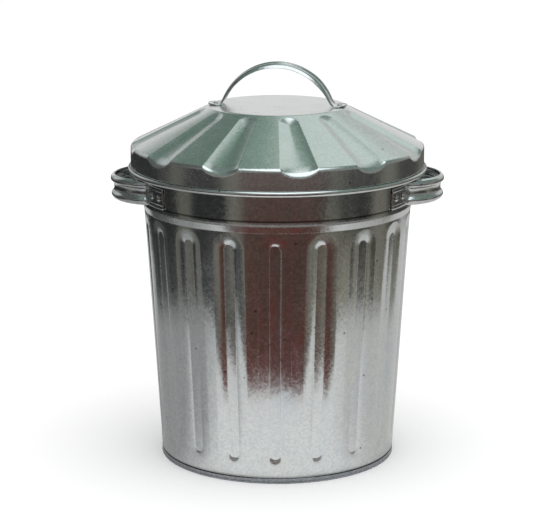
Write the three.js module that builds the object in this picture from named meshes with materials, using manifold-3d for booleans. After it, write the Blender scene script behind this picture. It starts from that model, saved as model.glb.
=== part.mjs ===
// A small galvanised dustbin with a lift-off lid: a ribbed, tapered barrel with two riveted carrying handles,
// and a fluted lid with an arched strap handle.
//
// Millimetres, +Z up. The origin is the centre of the base, on the floor. The front is -Y, and the carrying
// handles point along -X and +X.

import * as THREE from 'three';
import Module from 'manifold-3d';

const wasm = await Module();
wasm.setup();

// ---- Sheet, wire and clearance ----

const GAP = 0.3; // air between neighbouring pieces
const SHEET = 0.7; // body and lid sheet
const STRAP = 0.9; // handle strap
const WIRE_RADIUS = 1.8; // stiffening wire inside each rolled edge
const CURL_RADIUS = 2.55; // mid-line of the sheet rolled round that wire
const CURL_STEPS = 6;

// ---- Barrel ----

const BASE_RADIUS = 118.2; // outside of the tapered wall, carried down to the floor
const TAPER = 0.0618; // growth of that radius per millimetre of height
const COLLAR = { radius: 135.25, height: 267.1, taper: 0.045 }; // outside of the plain collar, from its foot up
const RIB_COUNT = 18;
const RIB_FIRST = -91; // middle of the first rib, degrees, almost straight ahead
const RIB_DEPTH = 2.2;
const RIB_EDGE = 7.25; // half width of a rib, degrees
const RIB_FLOOR = 2.36; // half width of its flat floor, degrees
const RIB_LOW = { edge: 14.6, floor: 24.5 }; // heights at the bottom end of a rib
const RIB_HIGH = { floor: 241.6, edge: 252.6 }; // heights at its top end
const RIDGE = { low: 254.5, top: 261.2, rise: 1.2 }; // the wall flares out here, and steps back to the collar
const RIM_WIRE_HEIGHT = 311.2;

// ---- Base ----

const FOOT_HEIGHT = 5.2;
const FOOT_RADIUS = 118.9;
const FOOT_WALL = 0.8;
const FOOT_FLOOR = 0.9;
const FLOOR_HEIGHT = 10.4; // mid-line of the floor pan
const FLOOR_CORNER = 2;

// ---- Lid ----

const LID_TURN = THREE.MathUtils.degToRad(-6.9); // the loose lid sits a little turned
const DISC_RADIUS = 68;
const DISC_HEIGHT = 357.2; // upper face
const SKIRT_RADIUS = 147; // outside
const SKIRT_TOP = 318.4;
const SKIRT_CORNER = 3;
const LID_WIRE_HEIGHT = 295.2;
const LID_WIRE_OUTSET = 0.5; // the rolled edge is centred a little outside the skirt's mid-line
const FLUTE_COUNT = 12;
const FLUTE_EDGE = 7.1; // half width of a flute, degrees
const FLUTE_FLOOR = 3.5; // half width of its floor, degrees
const FLUTE_START = { radius: 71, floorRadius: 76, drop: 2.8 };
const FLUTE_DROP = 6.6; // how far the floor lies below the cone at the skirt

// ---- Handles ----

// One half of the pressed strap section: [fraction of the half width, outward relief].
const STRAP_RELIEF = [[0, -1.5], [0.3, -0.8], [0.58, 1.6], [0.85, 0.6], [1, -2]];

const LOOP_CENTRE = 117; // distance of the loop's centre from the bin's axis
const LOOP_RADIUS = 48.2;
const LOOP_END = 72.5; // where the loop turns into its foot, degrees round the loop's centre
const LOOP_FORMED = 55; // where the strap section reaches its full relief
const PLATE_START = 21.6; // foot plate on the collar, degrees round the bin's axis from X
const PLATE_END = 35.8;
const PLATE_HALF_HEIGHT = 11.2;
const LOOP_HALF_HEIGHT = 12.2;
const SIDE_HANDLE_HEIGHT = 276.6;
const PLATE_RIVETS = [26.6, 32.4]; // degrees round the bin's axis from X

const ARCH_TOP = 400; // overall height of the bin
const ARCH_RADIUS = 58; // mid-line of the strap
const ARCH_END = 25; // where the arch turns into its foot, degrees above the horizontal
const ARCH_FORMED = 45;
const ARCH_HALF_WIDTH = 12;
const TAB_START = 58.5;
const TAB_END = 69.4;
const TAB_ROUNDING = 4;
const TAB_LIFT = 1.2; // the tip of each foot springs up from the disc
const TAB_RIVET = 62.2; // distance of a foot's rivet from the middle of the lid

const RIVET_SHANK = 1.6;
const ROUND_HEAD = { radius: 3.2, height: 1.6 }; // carrying handles
const LOW_HEAD = { radius: 3, height: 0.7 }; // lid handle
const RIVET_TAIL = { radius: 2.6, height: 0.8 };
const RIVET_SIDES = 8;

// ---- Materials ----

function metal(name, color, roughness) {
  return new THREE.MeshStandardMaterial({ name, color, roughness, metalness: 0.95 });
}

const GALVANISED = metal('galvanised_sheet', 0xb4bcba, 0.32);
const LID_SHEET = metal('lid_sheet', 0x93a39d, 0.4);
const HANDLE_STRAP = metal('handle_strap', 0xa9afae, 0.3);
const RIVET_STEEL = metal('rivet_steel', 0x8d908e, 0.35);
const HIDDEN_WIRE = metal('hidden_wire', 0x7f8382, 0.5);

// ---- Plain geometry helpers ----

const radians = THREE.MathUtils.degToRad;
const lerp = THREE.MathUtils.lerp;

// Steps evenly from one number to another, both included.
function steps(from, to, count) {
  return Array.from({ length: count + 1 }, (_, i) => lerp(from, to, i / count));
}

// Points [x, y] on a circle, by angle in degrees.
function arc(x, y, radius, from, to, count) {
  return steps(from, to, count).map((degrees) => [
    x + radius * Math.cos(radians(degrees)),
    y + radius * Math.sin(radians(degrees)),
  ]);
}

// The closed outline of a sheet that follows an open path of [x, y, press] points along its mid-line.
function sheetOutline(path, thickness) {
  const side = (sign) => path.map(([x, y, press = 0], i) => {
    const [x0, y0] = path[Math.max(i - 1, 0)];
    const [x1, y1] = path[Math.min(i + 1, path.length - 1)];
    const before = new THREE.Vector2(x - x0, y - y0).normalize();
    const after = new THREE.Vector2(x1 - x, y1 - y).normalize();
    const along = before.add(after).normalize();
    const offset = (sign * thickness) / 2;
    const px = x === 0 ? 0 : x - along.y * offset;
    return [px, y + along.x * offset, press];
  });
  return [...side(1), ...side(-1).reverse()];
}

// A closed mesh from vertices and triangles, turned so that its faces point out.
function closedGeometry(positions, triangles) {
  const vertex = (i) => new THREE.Vector3().fromArray(positions, 3 * i);
  const volume = triangles.reduce(
    (sum, [a, b, c]) => sum + vertex(a).dot(vertex(b).cross(vertex(c))),
    0,
  );
  const index = triangles.flatMap(([a, b, c]) => (volume < 0 ? [a, c, b] : [a, b, c]));
  const geometry = new THREE.BufferGeometry();
  geometry.setAttribute('position', new THREE.Float32BufferAttribute(positions, 3));
  geometry.setIndex(index);
  return geometry;
}

// Turns a closed outline of [radius, height, press] points about Z. Each column has an angle and a depth from
// 0 to 1, and pressed points move along `pressAlong` by their press times the column's depth.
function spin(outline, columns, pressAlong = [0, 0]) {
  const positions = [];
  const rows = outline.map(([radius, height, press = 0]) => {
    const first = positions.length / 3;
    const onAxis = radius === 0;
    for (const { angle, depth } of onAxis ? [columns[0]] : columns) {
      const r = radius + pressAlong[0] * press * depth;
      positions.push(r * Math.cos(angle), r * Math.sin(angle), height + pressAlong[1] * press * depth);
    }
    return columns.map((_, column) => first + (onAxis ? 0 : column));
  });
  const triangles = [];
  rows.forEach((row, i) => {
    const next = rows[(i + 1) % rows.length];
    row.forEach((a, column) => {
      const right = (column + 1) % columns.length;
      triangles.push([a, row[right], next[right]], [a, next[right], next[column]]);
    });
  });
  return closedGeometry(positions, triangles.filter((t) => new Set(t).size === 3));
}

// Columns for a wall with `count` pressings, the first of them centred on `firstAngle`.
function pressedColumns(count, firstAngle, edge, floor, flats) {
  const pitch = 360 / count;
  const profile = [[-edge, 0], [-floor, 1], [floor, 1], [edge, 0], ...flats.map((f) => [f * pitch, 0])];
  return Array.from({ length: count }, (_, i) => i).flatMap((i) => profile.map(([offset, depth]) => ({
    angle: radians(firstAngle + i * pitch + offset),
    depth,
  })));
}

function evenColumns(count) {
  return Array.from({ length: count }, (_, i) => ({ angle: (2 * Math.PI * i) / count, depth: 0 }));
}

// Joins rings of points into a closed skin. Point i of a ring faces point n - 1 - i across the strap, so each
// end is closed by the strip between those pairs.
function loft(rings) {
  const n = rings[0].length;
  const triangles = [];
  for (let r = 0; r + 1 < rings.length; r += 1) {
    for (let i = 0; i < n; i += 1) {
      const j = (i + 1) % n;
      const [a, b] = [r * n + i, r * n + j];
      triangles.push([a, b, b + n], [a, b + n, a + n]);
    }
  }
  const cap = (start, flip) => {
    for (let i = 0; i + 1 < n / 2; i += 1) {
      const [a, b, c, d] = [i, i + 1, n - 2 - i, n - 1 - i].map((k) => start + k);
      triangles.push(flip ? [a, c, b] : [a, b, c], flip ? [a, d, c] : [a, c, d]);
    }
  };
  cap(0, true);
  cap((rings.length - 1) * n, false);
  return closedGeometry(rings.flat().flatMap((p) => p.toArray()), triangles);
}

// ---- Booleans ----

function toManifold(geometry) {
  return new wasm.Manifold(new wasm.Mesh({
    numProp: 3,
    vertProperties: new Float32Array(geometry.attributes.position.array),
    triVerts: new Uint32Array(geometry.index.array),
  }));
}

// Cuts each tool from the geometry.
function cut(geometry, tools) {
  const { numProp, vertProperties, triVerts } = tools
    .reduce((body, tool) => body.subtract(toManifold(tool)), toManifold(geometry))
    .getMesh();
  const result = new THREE.BufferGeometry();
  result.setAttribute('position', new THREE.BufferAttribute(new Float32Array(vertProperties), numProp));
  result.setIndex(Array.from(triVerts));
  return result;
}

// ---- Rivets ----

// A placement on the barrel's collar: local +Z points out along the radius at the angle (degrees from X).
function onCollar(degrees, radius, height) {
  const out = new THREE.Vector3(Math.cos(radians(degrees)), Math.sin(radians(degrees)), 0);
  return new THREE.Matrix4()
    .makeTranslation(out.x * radius, out.y * radius, height)
    .multiply(new THREE.Matrix4().makeRotationZ(radians(degrees)))
    .multiply(new THREE.Matrix4().makeRotationY(Math.PI / 2 + Math.atan(COLLAR.taper)));
}

// A domed rivet about Z. The sheet and the strap lie between its heads, with a gap at both ends.
function rivetGeometry(head) {
  const low = -GAP;
  const high = SHEET + GAP + STRAP + GAP;
  const outline = [
    [0, low - RIVET_TAIL.height],
    [RIVET_TAIL.radius, low - RIVET_TAIL.height],
    [RIVET_TAIL.radius, low],
    [RIVET_SHANK, low],
    [RIVET_SHANK, high],
    [head.radius, high],
    [head.radius * 0.82, high + head.height * 0.62],
    [head.radius * 0.4, high + head.height * 0.95],
    [0, high + head.height],
  ];
  return spin(outline, evenColumns(RIVET_SIDES));
}

// The clearance hole for a rivet, long enough to go right through its sheets.
function rivetHole() {
  const radius = RIVET_SHANK + GAP;
  const reach = 4;
  return spin([[0, -reach], [radius, -reach], [radius, reach], [0, reach]], evenColumns(RIVET_SIDES));
}

// ---- Barrel, base and rim ----

const RIB_COLUMNS = pressedColumns(RIB_COUNT, RIB_FIRST, RIB_EDGE, RIB_FLOOR, []);

// Mid-line radius of the tapered wall, and of the collar above the swage.
function wallRadius(height) {
  return BASE_RADIUS + TAPER * height - SHEET / 2;
}

function collarRadius(height) {
  return COLLAR.radius + COLLAR.taper * (height - COLLAR.height) - SHEET / 2;
}

const SEAM_EDGE = FOOT_FLOOR + GAP; // lower edges of the barrel and of the floor pan, inside the foot ring
const BARREL_SEAM_RADIUS = FOOT_RADIUS - FOOT_WALL - GAP - SHEET / 2;
const PAN_SEAM_RADIUS = BARREL_SEAM_RADIUS - SHEET - GAP;
const FOOT_INNER_RADIUS = PAN_SEAM_RADIUS - SHEET / 2 - GAP - FOOT_WALL;
const RIM_WIRE_RADIUS = collarRadius(RIM_WIRE_HEIGHT) + CURL_RADIUS;

function barrelGeometry() {
  const wallFrom = FOOT_HEIGHT + 1.6;
  const path = [
    [BARREL_SEAM_RADIUS, SEAM_EDGE],
    [BARREL_SEAM_RADIUS, FOOT_HEIGHT + GAP],
    [wallRadius(wallFrom), wallFrom],
    [wallRadius(RIB_LOW.edge), RIB_LOW.edge],
    [wallRadius(RIB_LOW.floor), RIB_LOW.floor, RIB_DEPTH],
    [wallRadius(RIB_HIGH.floor), RIB_HIGH.floor, RIB_DEPTH],
    [wallRadius(RIB_HIGH.edge), RIB_HIGH.edge],
    [wallRadius(RIDGE.low), RIDGE.low],
    [wallRadius(RIDGE.top) + RIDGE.rise, RIDGE.top],
    [collarRadius(COLLAR.height), COLLAR.height],
    ...arc(RIM_WIRE_RADIUS, RIM_WIRE_HEIGHT, CURL_RADIUS, 180, -130, CURL_STEPS),
  ];
  return spin(sheetOutline(path, SHEET), RIB_COLUMNS, [-1, 0]);
}

function wireGeometry(ringRadius, height, columns) {
  const outline = arc(ringRadius, height, WIRE_RADIUS, 0, 288, 4);
  return spin(outline, columns);
}

function floorPanGeometry() {
  const path = [
    [0, FLOOR_HEIGHT],
    ...arc(PAN_SEAM_RADIUS - FLOOR_CORNER, FLOOR_HEIGHT - FLOOR_CORNER, FLOOR_CORNER, 90, 0, 1),
    [PAN_SEAM_RADIUS, SEAM_EDGE],
  ];
  return spin(sheetOutline(path, SHEET), RIB_COLUMNS);
}

function footRingGeometry() {
  const edge = 0.4;
  const outline = [
    [FOOT_INNER_RADIUS, 0],
    [FOOT_RADIUS - edge, 0],
    [FOOT_RADIUS, edge],
    [FOOT_RADIUS, FOOT_HEIGHT],
    [FOOT_RADIUS - FOOT_WALL, FOOT_HEIGHT],
    [FOOT_RADIUS - FOOT_WALL, FOOT_FLOOR],
    [FOOT_INNER_RADIUS + FOOT_WALL, FOOT_FLOOR],
    [FOOT_INNER_RADIUS + FOOT_WALL, FOOT_HEIGHT],
    [FOOT_INNER_RADIUS, FOOT_HEIGHT],
  ];
  return spin(outline, RIB_COLUMNS);
}

// ---- Lid ----

const FLUTE_COLUMNS = pressedColumns(FLUTE_COUNT, -75, FLUTE_EDGE, FLUTE_FLOOR, [0.5]);
const SKIRT_MID_RADIUS = SKIRT_RADIUS - SHEET / 2;
const LID_WIRE_RADIUS = SKIRT_MID_RADIUS + LID_WIRE_OUTSET;
const DISC_MID_HEIGHT = DISC_HEIGHT - SHEET / 2;
const CONE_SLOPE = (DISC_HEIGHT - SKIRT_TOP) / (SKIRT_RADIUS - DISC_RADIUS);

function coneHeight(radius) {
  return DISC_MID_HEIGHT - CONE_SLOPE * (radius - DISC_RADIUS);
}

function fluteDrop(radius) {
  const along = (radius - FLUTE_START.floorRadius) / (SKIRT_RADIUS - FLUTE_START.floorRadius);
  return lerp(FLUTE_START.drop, FLUTE_DROP, along);
}

function lidGeometry() {
  const slope = THREE.MathUtils.radToDeg(Math.atan(CONE_SLOPE));
  const cornerTop = coneHeight(SKIRT_MID_RADIUS) - SKIRT_CORNER * Math.tan(radians((90 - slope) / 2));
  const corner = arc(SKIRT_MID_RADIUS - SKIRT_CORNER, cornerTop, SKIRT_CORNER, 90 - slope, 0, 2);
  const path = [
    [0, DISC_MID_HEIGHT],
    [DISC_RADIUS, DISC_MID_HEIGHT],
    [FLUTE_START.radius, coneHeight(FLUTE_START.radius)],
    [FLUTE_START.floorRadius, coneHeight(FLUTE_START.floorRadius), FLUTE_START.drop],
    ...corner.map(([radius, height]) => [radius, height, fluteDrop(radius)]),
    [SKIRT_MID_RADIUS, SKIRT_TOP - FLUTE_DROP - SKIRT_CORNER - 1],
    ...arc(LID_WIRE_RADIUS, LID_WIRE_HEIGHT, CURL_RADIUS, 100, 410, CURL_STEPS),
  ];
  return spin(sheetOutline(path, SHEET), FLUTE_COLUMNS, [0, -1]);
}

// ---- Handles ----

const STRAP_AXIS = 100; // keeps a section's points off the axis of a turned outline while it is drawn

// A pressed strap through a list of stations. Each station has a place, an outward direction, a half width
// and a form from 0 (flat) to 1 (full relief). `lean` tips the strap outward as it goes along `across`.
function strapGeometry(stations, across, lean) {
  const mirrored = STRAP_RELIEF.slice(1).reverse().map(([u, relief]) => [-u, relief]);
  const section = [...mirrored, ...STRAP_RELIEF];
  return loft(stations.map(({ at, out, form, halfWidth }) => {
    const path = section.map(([u, relief]) => [
      STRAP_AXIS + relief * form + lean * u * halfWidth,
      u * halfWidth,
    ]);
    return sheetOutline(path, STRAP)
      .map(([n, w]) => at.clone().addScaledVector(out, n - STRAP_AXIS).addScaledVector(across, w));
  }));
}

// The rounded corner between two straight runs, as stations with their directions turned to face out.
function bend(from, fromDirection, to, toDirection, count) {
  const cross = fromDirection.cross(toDirection);
  const reach = new THREE.Vector2().subVectors(to, from).cross(toDirection) / cross;
  const control = from.clone().addScaledVector(fromDirection, reach);
  const curve = new THREE.QuadraticBezierCurve(from, control, to);
  return steps(0, 1, count).slice(1, -1).map((t) => {
    const along = curve.getTangent(t);
    return { at: curve.getPoint(t), out: new THREE.Vector2(-along.y, along.x), t };
  });
}

const PLATE_RADIUS = collarRadius(SIDE_HANDLE_HEIGHT) + SHEET / 2 + GAP + STRAP / 2;

function polar(radius, degrees) {
  return new THREE.Vector2(radius * Math.cos(radians(degrees)), radius * Math.sin(radians(degrees)));
}

// Half of the carrying handle on +X, in plan, from the end of its foot plate to the middle of the loop.
function sideHandleHalf() {
  const clockwise = (degrees) => polar(1, degrees - 90);
  const plate = steps(PLATE_END, PLATE_START, 3).map((degrees) => ({
    at: polar(PLATE_RADIUS, degrees),
    out: polar(1, degrees),
    form: 0,
  }));
  const loop = steps(LOOP_END, 0, 6).map((degrees) => ({
    at: polar(LOOP_RADIUS, degrees).add(new THREE.Vector2(LOOP_CENTRE, 0)),
    out: polar(1, degrees),
    form: Math.min(1, lerp(0.3, 1, (LOOP_END - degrees) / (LOOP_END - LOOP_FORMED))),
  }));
  const corner = bend(
    plate.at(-1).at,
    clockwise(PLATE_START),
    loop[0].at,
    clockwise(LOOP_END),
    3,
  ).map(({ at, out, t }) => ({ at, out, form: 0.3 * t }));
  return [...plate, ...corner, ...loop];
}

function sideHandleGeometry() {
  const half = sideHandleHalf();
  const other = half.slice(0, -1).reverse().map(({ at, out, form }) => ({
    at: new THREE.Vector2(at.x, -at.y),
    out: new THREE.Vector2(out.x, -out.y),
    form,
  }));
  const stations = [...half, ...other].map(({ at, out, form }) => ({
    at: new THREE.Vector3(at.x, at.y, SIDE_HANDLE_HEIGHT),
    out: new THREE.Vector3(out.x, out.y, 0),
    form,
    halfWidth: lerp(PLATE_HALF_HEIGHT, LOOP_HALF_HEIGHT, form),
  }));
  return strapGeometry(stations, new THREE.Vector3(0, 0, 1), COLLAR.taper);
}

// Half of the lid handle, in the plane of the arch, from the tip of its foot to the crown.
function lidHandleHalf() {
  const footHeight = DISC_HEIGHT + GAP + STRAP / 2;
  const crest = Math.max(...STRAP_RELIEF.map(([, relief]) => relief));
  const centre = ARCH_TOP - crest - STRAP / 2 - ARCH_RADIUS;
  const tab = steps(TAB_END, TAB_START, 4).map((x) => {
    const toTip = Math.max(0, (x - TAB_END + TAB_ROUNDING) / TAB_ROUNDING);
    return {
      at: new THREE.Vector2(x, footHeight + TAB_LIFT * toTip),
      out: new THREE.Vector2(0, 1),
      form: 0,
      halfWidth: ARCH_HALF_WIDTH - TAB_ROUNDING * toTip,
    };
  });
  const arch = steps(ARCH_END, 90, 7).map((degrees) => ({
    at: polar(ARCH_RADIUS, degrees).add(new THREE.Vector2(0, centre)),
    out: polar(1, degrees),
    form: Math.min(1, lerp(0.4, 1, (degrees - ARCH_END) / (ARCH_FORMED - ARCH_END))),
    halfWidth: ARCH_HALF_WIDTH,
  }));
  const corner = bend(
    tab.at(-1).at,
    new THREE.Vector2(-1, 0),
    arch[0].at,
    polar(1, ARCH_END + 90),
    3,
  ).map(({ at, out, t }) => ({ at, out: out.negate(), form: 0.4 * t, halfWidth: ARCH_HALF_WIDTH }));
  return [...tab, ...corner, ...arch];
}

function lidHandleGeometry() {
  const half = lidHandleHalf();
  const other = half.slice(0, -1).reverse().map((station) => ({
    ...station,
    at: new THREE.Vector2(-station.at.x, station.at.y),
    out: new THREE.Vector2(-station.out.x, station.out.y),
  }));
  const stations = [...half, ...other].map((station) => ({
    ...station,
    at: new THREE.Vector3(station.at.x, 0, station.at.y),
    out: new THREE.Vector3(station.out.x, 0, station.out.y),
  }));
  return strapGeometry(stations, new THREE.Vector3(0, 1, 0), 0);
}

// ---- Assembly ----

function part(name, geometry, material) {
  const mesh = new THREE.Mesh(geometry, material);
  mesh.name = name;
  return mesh;
}

const sideRivets = ['right', 'left'].flatMap((side) => ['front', 'rear'].flatMap((end) => (
  PLATE_RIVETS.map((degrees, i) => {
    const fromX = end === 'front' ? -degrees : degrees;
    const angle = side === 'right' ? fromX : 180 - fromX;
    return {
      name: `side_handle_${side}_${end}_rivet_${i + 1}`,
      side,
      place: onCollar(angle, collarRadius(SIDE_HANDLE_HEIGHT) - SHEET / 2, SIDE_HANDLE_HEIGHT),
    };
  })
)));

const lidRivets = ['right', 'left'].map((side) => ({
  name: `lid_handle_${side}_rivet`,
  place: new THREE.Matrix4().makeTranslation(
    side === 'right' ? TAB_RIVET : -TAB_RIVET,
    0,
    DISC_HEIGHT - SHEET,
  ),
}));

function holesAt(rivets) {
  return rivets.map(({ place }) => rivetHole().applyMatrix4(place));
}

function addRivets(group, rivets, head) {
  for (const { name, place } of rivets) {
    group.add(part(name, rivetGeometry(head).applyMatrix4(place), RIVET_STEEL));
  }
}

function barrelAssembly() {
  const group = new THREE.Group();
  group.add(part('barrel', cut(barrelGeometry(), holesAt(sideRivets)), GALVANISED));
  const rimWire = wireGeometry(RIM_WIRE_RADIUS, RIM_WIRE_HEIGHT, RIB_COLUMNS);
  group.add(part('rim_wire', rimWire, HIDDEN_WIRE));
  group.add(part('bottom_disc', floorPanGeometry(), GALVANISED));
  group.add(part('foot_ring', footRingGeometry(), GALVANISED));
  for (const side of ['right', 'left']) {
    const strap = sideHandleGeometry();
    if (side === 'left') {
      strap.rotateZ(Math.PI);
    }
    const rivets = sideRivets.filter((rivet) => rivet.side === side);
    group.add(part(`side_handle_${side}`, cut(strap, holesAt(rivets)), HANDLE_STRAP));
    addRivets(group, rivets, ROUND_HEAD);
  }
  return group;
}

function lidAssembly() {
  const group = new THREE.Group();
  group.rotation.z = LID_TURN;
  group.add(part('lid', cut(lidGeometry(), holesAt(lidRivets)), LID_SHEET));
  const edgeWire = wireGeometry(LID_WIRE_RADIUS, LID_WIRE_HEIGHT, FLUTE_COLUMNS);
  group.add(part('lid_edge_wire', edgeWire, HIDDEN_WIRE));
  group.add(part('lid_handle', cut(lidHandleGeometry(), holesAt(lidRivets)), HANDLE_STRAP));
  addRivets(group, lidRivets, LOW_HEAD);
  return group;
}

const dustbin = new THREE.Group();
dustbin.add(barrelAssembly(), lidAssembly());

export default dustbin;
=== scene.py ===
"""A small galvanised dustbin with a lift-off lid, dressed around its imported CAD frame.

Shapes are worked out in millimetres and turned into metres when a mesh is made. +Z is up, the front is -Y,
and the carrying handles are at -X and +X. Named angles are in degrees.
"""

import math

import bmesh
import bpy
import numpy as np
from mathutils import Matrix, Vector


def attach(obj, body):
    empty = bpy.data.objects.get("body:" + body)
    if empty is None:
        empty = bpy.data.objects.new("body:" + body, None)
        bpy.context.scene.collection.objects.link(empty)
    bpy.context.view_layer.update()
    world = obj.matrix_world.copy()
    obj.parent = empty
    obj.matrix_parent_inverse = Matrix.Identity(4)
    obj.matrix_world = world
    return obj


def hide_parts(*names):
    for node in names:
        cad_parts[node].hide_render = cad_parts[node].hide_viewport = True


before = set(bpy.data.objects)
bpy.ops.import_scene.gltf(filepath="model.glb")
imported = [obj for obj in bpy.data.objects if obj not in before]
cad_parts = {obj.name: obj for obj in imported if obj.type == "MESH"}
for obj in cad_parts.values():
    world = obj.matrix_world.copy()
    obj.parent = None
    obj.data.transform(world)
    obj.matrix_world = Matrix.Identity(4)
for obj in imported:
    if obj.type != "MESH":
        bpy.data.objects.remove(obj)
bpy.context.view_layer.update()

MM = 0.001

# ---- Sheet, wire and clearance, as in the CAD ----

GAP = 0.3  # air between neighbouring pieces
SHEET = 0.7  # body and lid sheet
STRAP = 0.9  # handle strap
WIRE_RADIUS = 1.8  # stiffening wire inside each rolled edge
CURL_RADIUS = 2.55  # mid-line of the sheet rolled round that wire

# ---- Barrel ----

BASE_RADIUS = 118.2  # outside of the tapered wall, carried down to the floor
TAPER = 0.0618  # growth of that radius per millimetre of height
COLLAR_RADIUS = 135.25  # outside of the plain collar at its foot
COLLAR_HEIGHT = 267.1  # its foot
COLLAR_TAPER = 0.045
COLLAR_SHADE_LINE_DROP = 1.1  # a line of painted shade runs this far below the collar
FOOT_DARKENING = 7.2  # the wall is darker up to about this height above the floor
FOOT_DARKENING_RAGGED = 2.5
RIB_COUNT = 18
RIB_FIRST = -91  # middle of the first rib
RIB_DEPTH = 2.2
RIB_HALF_WIDTH = 16
RIB_FLOOR_HALF_WIDTH = 5.2
RIB_LOW = 30.4  # heights of the middles of a rib's rounded ends
RIB_HIGH = 236.6
RIB_LOW_STRETCH = 0.85  # below 1, the lower end is longer than round
RIB_ROUNDING = 0.5  # softness of the folds beside the flanks
RIB_EDGE_SLOPE = 0.62  # share of the depth that falls evenly over a flank
RIB_STEEPENING = 4  # power of the rest, which falls close to the floor
RIDGE_LOW = 254.5  # the wall flares out from here
RIDGE_TOP = 261.2  # to here, and then steps back to the collar
RIDGE_RISE = 1.2
GROOVE_FALL = 0.2  # hollow between the ridge and the collar
RIM_WIRE_HEIGHT = 311.2
SEAM_ANGLE = 100  # the folded seam is at the back
SEAM_HALF_WIDTH = 3.2
SEAM_RISE = 0.8
SEAM_TOP = 304

# ---- Base ----

FOOT_HEIGHT = 5.2
FOOT_RADIUS = 118.9
FOOT_WALL = 0.8
FOOT_FLOOR = 0.9
FOOT_BEAD = 0.35  # depth of the groove rolled round the ring
FOOT_CORNER = 0.6
FLOOR_HEIGHT = 10.4
FLOOR_CORNER = 2
PAN_BEAD_RADIUS = 96
PAN_BEAD_HALF_WIDTH = 6
PAN_BEAD_DEPTH = 0.9
PAN_DOME = 0.5  # the middle stands this far above the edge

# ---- Lid ----

LID_TURN = -6.9  # the loose lid sits a little turned
DISC_RADIUS = 68
DISC_HEIGHT = 357.2
SKIRT_RADIUS = 147
SKIRT_TOP = 318.4
SKIRT_CORNER = 4.6
SKIRT_PLAIN = 307.8  # the flutes leave the skirt alone below this
LID_WIRE_HEIGHT = 295.2
LID_WIRE_OUTSET = 0.46
FLUTE_COUNT = 12
FLUTE_FIRST = -75
FLUTE_EDGE = 7.1  # half width
FLUTE_TIP = 70.6  # radius of a flute's upper end
FLUTE_FULL = 78  # radius where it has its full width
FLUTE_BOTTOM = 1.45  # power of the section: 1 is a V, 2 is round
FLUTE_DROP_START = 2.8
FLUTE_DROP_END = 3.4
FLUTE_FALL = 3  # further drop as the flute rounds over into the skirt
FLUTE_FALL_START = 137

# ---- Handles ----

# One half of a strap's section: (fraction of the half width, outward relief).
STRAP_RELIEF = [(0, -1.5), (0.3, -0.8), (0.58, 1.6), (0.85, 0.6), (1, -2)]
PLATE_RELIEF = [(0, 0), (0.58, 0), (0.68, 0.45), (0.93, 0.45), (1, 0.1)]
RELIEF_STEPS = 5

SIDE_HANDLE_HEIGHT = 276.6
LOOP_CENTRE = 117
LOOP_RADIUS = 48.1
LOOP_END = 72.5  # round the loop's centre
LOOP_HALF_HEIGHT = 12.2
PLATE_START = 21.6  # round the bin's axis
PLATE_END = 35.8
PLATE_HEM = 0.35
PLATE_HEM_WIDTH = (0.5, 1.0)  # the hem fades out between these angles from the plate's end
PLATE_HALF_HEIGHT = 10.4
PLATE_ROUNDING = 1.6
PLATE_PLAIN = 34.5  # the plate's outline is straight from here on
PLATE_RIVETS = (26.6, 32.4)
ARCH_TOP = 399.9
ARCH_RADIUS = 58
ARCH_END = 25
ARCH_FORMED = 45  # the strap has its full relief from here up
ARCH_HALF_WIDTH = 12
BEND_STEPS = 14
ARCH_BEND_FORM = 0.4  # share of the relief that the strap has where the arch begins
TAB_START = 58.5
TAB_END = 69.4
TAB_ROUNDING = 9
TAB_LIFT = 0.5
TAB_RELIEF = 0.6
TAB_RIVET = 62.2

# ---- Rivets ----

RIVET_SHANK = 1.6
ROUND_HEAD = (3.2, 1.6)  # radius and rise
LOW_HEAD = (3.0, 0.7)
RIVET_TAIL = (2.6, 0.8)
TAIL_SWEEP = 1.3  # radians of the tail's round end

# ---- Studio, with lengths in metres except the camera's own ----

DISC_SIDES = 96
SENSOR_WIDTH = 36
LENS = 137.45
CAMERA_PLACE = (-0.0024, -2.0775, 0.6791)
CAMERA_PITCH = 76.86


# ---- Plain geometry helpers ----


def arc(x, y, radius, start, end, count):
    """Points on a circle, by angle."""
    turn = np.radians(np.linspace(start, end, count + 1))
    return [(x + radius * math.cos(t), y + radius * math.sin(t)) for t in turn]


def smooth_line(points, steps):
    """A Catmull-Rom curve through the points, with that many steps between neighbours."""
    knots = np.array(points, float)
    padded = np.vstack([2 * knots[0] - knots[1], knots, 2 * knots[-1] - knots[-2]])
    line = []
    for a, b, c, d in zip(padded, padded[1:], padded[2:], padded[3:]):
        first = c - a
        second = 2 * a - 5 * b + 4 * c - d
        third = 3 * b - a - 3 * c + d
        for t in np.arange(steps) / steps:
            line.append(0.5 * (2 * b + first * t + second * t**2 + third * t**3))
    return np.array(line + [knots[-1]])


def unit(vectors):
    return vectors / np.maximum(np.linalg.norm(vectors, axis=1, keepdims=True), 1e-9)


def sheet_outline(line, thickness):
    """The closed outline of a sheet along an open mid-line, and each point's place on the mid-line."""
    line = np.array(line, float)
    before = np.diff(line, axis=0, prepend=line[:1])
    after = np.diff(line, axis=0, append=line[-1:])
    along = unit(unit(before) + unit(after))
    across = np.stack([-along[:, 1], along[:, 0]], axis=1) * thickness / 2
    across[line[:, 0] == 0, 0] = 0
    order = np.arange(len(line))
    outline = np.concatenate([line + across, (line - across)[::-1]])
    return outline, np.concatenate([order, order[::-1]])


def grid_faces(rows, columns, close_rows=True):
    """Quads over a grid of points whose columns run round, and whose rows may."""
    faces = []
    for i in range(rows if close_rows else rows - 1):
        a = i * columns
        b = ((i + 1) % rows) * columns
        for j in range(columns):
            k = (j + 1) % columns
            faces.append((a + j, a + k, b + k, b + j))
    return faces


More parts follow.
